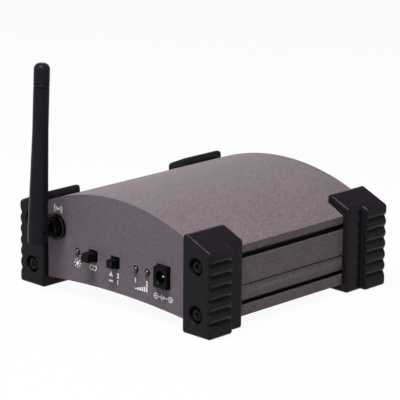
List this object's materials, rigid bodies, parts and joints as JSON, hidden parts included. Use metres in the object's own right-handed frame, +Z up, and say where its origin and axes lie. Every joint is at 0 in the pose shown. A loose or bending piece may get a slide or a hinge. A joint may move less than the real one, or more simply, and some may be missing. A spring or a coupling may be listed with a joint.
{
  "type": "wireless audio transmitter",
  "caption": "Desk-top wireless audio transmitter: arched two-part metal case, ribbed corner bumpers, folding antenna, push buttons, lamps, power inlet and rear jacks.",
  "frame": {"origin": "middle of the case in plan, on the plane that the four bumper feet stand on", "axes": "+Z up, -Y out of the front panel with the antenna and controls, +X to the right as seen from the front"},
  "size_m": [0.134, 0.145, 0.1186],
  "materials": {
    "coated_aluminium": "warm grey metallic powder coat, satin",
    "coated_panel": "warm grey metallic coat, satin",
    "bumper_plastic": "moulded black, low sheen",
    "black_steel": "black oxide",
    "gold_plated_brass": "gold plated, bright",
    "white_ptfe": "turned, waxy",
    "nickel_steel": "nickel plated",
    "black_nut": "black chrome, satin",
    "antenna_plastic": "moulded black",
    "antenna_rubber": "soft black, low sheen",
    "bare_brass": "drawn",
    "black_cable": "extruded jacket",
    "green_board": "solder mask over laminate",
    "green_lens": "clear tinted epoxy",
    "red_lens": "tinted epoxy",
    "black_plastic": "moulded black",
    "ivory_plastic": "moulded",
    "jack_plastic": "glass-filled black nylon",
    "chip_resin": "moulded epoxy",
    "capacitor_sleeve": "shrink sleeve over aluminium can"
  },
  "bodies": {
    "case": {"top_shell": "coated_aluminium", "bottom_shell": "coated_aluminium", "front_panel": "coated_panel", "rear_panel": "coated_panel", "bumper_front_right": "bumper_plastic", "bumper_front_left": "bumper_plastic", "bumper_rear_right": "bumper_plastic", "bumper_rear_left": "bumper_plastic", "front_bumper_screws": "black_steel", "rear_bumper_screws": "black_steel", "rf_socket": "gold_plated_brass", "rf_socket_insulator": "white_ptfe", "rf_socket_contact": "gold_plated_brass", "rf_lock_washer": "nickel_steel", "rf_dress_nut": "black_nut", "coupling_nut": "black_nut", "coax_pigtail": "black_cable", "radio_module": "green_board", "radio_shield": "nickel_steel", "status_lamp": "green_lens", "status_lamp_holder": "black_plastic", "peak_lamp_left": "red_lens", "peak_lamp_left_holder": "black_plastic", "peak_lamp_right": "red_lens", "peak_lamp_right_holder": "black_plastic", "pair_switch": "black_plastic", "mode_switch": "black_plastic", "inlet_housing": "black_plastic", "inlet_pin": "nickel_steel", "inlet_spring": "nickel_steel", "input_jack_left": "jack_plastic", "input_jack_right": "jack_plastic", "jack_washer_left": "nickel_steel", "jack_washer_right": "nickel_steel", "jack_nut_left": "nickel_steel", "jack_nut_right": "nickel_steel", "jack_contact_left": "nickel_steel", "jack_contact_right": "nickel_steel", "main_board": "green_board", "codec_chip": "chip_resin", "control_chip": "chip_resin", "voltage_regulator": "chip_resin", "crystal": "nickel_steel", "capacitor_1": "capacitor_sleeve", "capacitor_2": "capacitor_sleeve", "capacitor_3": "capacitor_sleeve", "capacitor_4": "capacitor_sleeve"},
    "knuckle": {"antenna_knuckle": "antenna_plastic"},
    "whip": {"antenna_fold_pin": "black_steel", "antenna_sleeve": "antenna_rubber", "antenna_cap": "antenna_rubber", "antenna_radiator": "bare_brass"},
    "pair_cap": {"pair_button": "black_plastic", "pair_plunger": "ivory_plastic"},
    "mode_cap": {"mode_button": "black_plastic", "mode_plunger": "ivory_plastic"}
  },
  "joints": [
    {"name": "antenna_swivel", "type": "hinge", "parent": "case", "child": "knuckle", "pos_m": [-0.0419, -0.074, 0.0331], "axis": [0, 1, 0], "continuous": true},
    {"name": "antenna_fold", "type": "hinge", "parent": "knuckle", "child": "whip", "pos_m": [-0.0419, -0.074, 0.0331], "axis": [0.9988, 0, -0.0489], "range_deg": [0, 90]},
    {"name": "pair_press", "type": "slide", "parent": "case", "child": "pair_cap", "axis": [0, 1, 0], "range_m": [0, 0.0004], "stiffness_N_per_m": 500},
    {"name": "mode_latch", "type": "slide", "parent": "case", "child": "mode_cap", "axis": [0, 1, 0], "range_m": [-0.002, 0.0003]}
  ]
}
